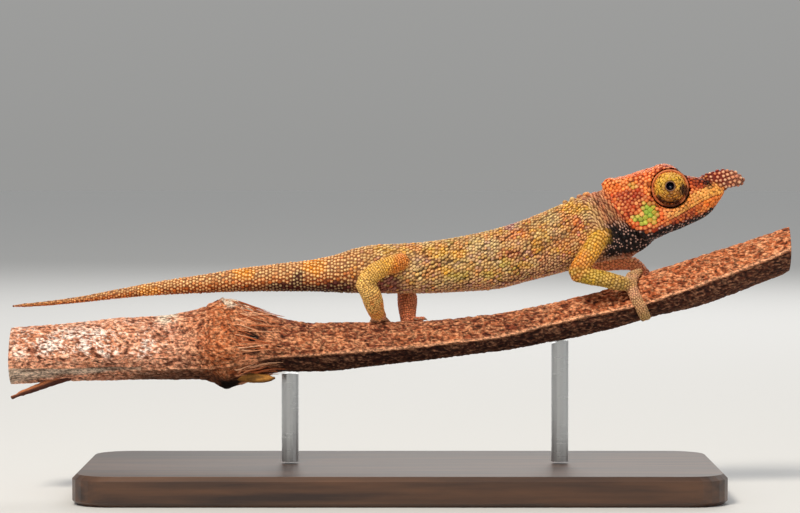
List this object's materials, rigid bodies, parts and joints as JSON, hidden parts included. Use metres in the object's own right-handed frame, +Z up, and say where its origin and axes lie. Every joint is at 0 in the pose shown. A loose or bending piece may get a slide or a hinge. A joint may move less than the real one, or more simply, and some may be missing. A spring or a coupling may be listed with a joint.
{
  "type": "long-nosed chameleon model",
  "caption": "Life-size still model of a long-nosed chameleon walking along a cut length of branch, held over a flat base by short rods.",
  "frame": {"origin": "middle of the underside of the stand's base, which is the floor's level", "axes": "+X the way the animal walks and along the branch, +Y its left side, +Z up"},
  "size_m": [0.105, 0.036, 0.0446],
  "materials": {
    "trunk_skin": "matt granular lizard skin, beige, olive yellow, orange and pink",
    "head_skin": "matt granular lizard skin, orange with a green cheek and a black throat",
    "tail_skin": "matt ringed lizard skin, orange with cream granules",
    "limb_skin": "matt lizard skin in rings of granules, ochre to pinkish orange",
    "lid_skin": "fine granular skin in rings round the eye, gold",
    "lobe_skin": "tubercled skin, purple red with white tips",
    "claw_horn": "horn, semi-gloss",
    "eyeball": "wet, glossy, dark",
    "bark": "rust brown scurfy bark with pale bare wood",
    "stand_wood": "dark oiled wood, satin",
    "stand_steel": "fine brushed"
  },
  "bodies": {
    "root": {"head": "head_skin", "neck": "head_skin", "rostral_appendage": "lobe_skin", "eyelid_right": "lid_skin", "eyelid_left": "lid_skin", "eyeball_right": "eyeball", "eyeball_left": "eyeball", "torso": "trunk_skin", "tail_base": "tail_skin", "tail_middle": "tail_skin", "tail_tip": "tail_skin", "upper_arm_right": "limb_skin", "forearm_right": "limb_skin", "hand_right": "limb_skin", "thigh_right": "limb_skin", "shank_right": "limb_skin", "foot_right": "limb_skin", "upper_arm_left": "limb_skin", "forearm_left": "limb_skin", "hand_left": "limb_skin", "thigh_left": "limb_skin", "shank_left": "limb_skin", "foot_left": "limb_skin", "perch": "bark", "stand_base": "stand_wood", "stand_rod_1": "stand_steel", "stand_rod_2": "stand_steel"}
  },
  "joints": []
}
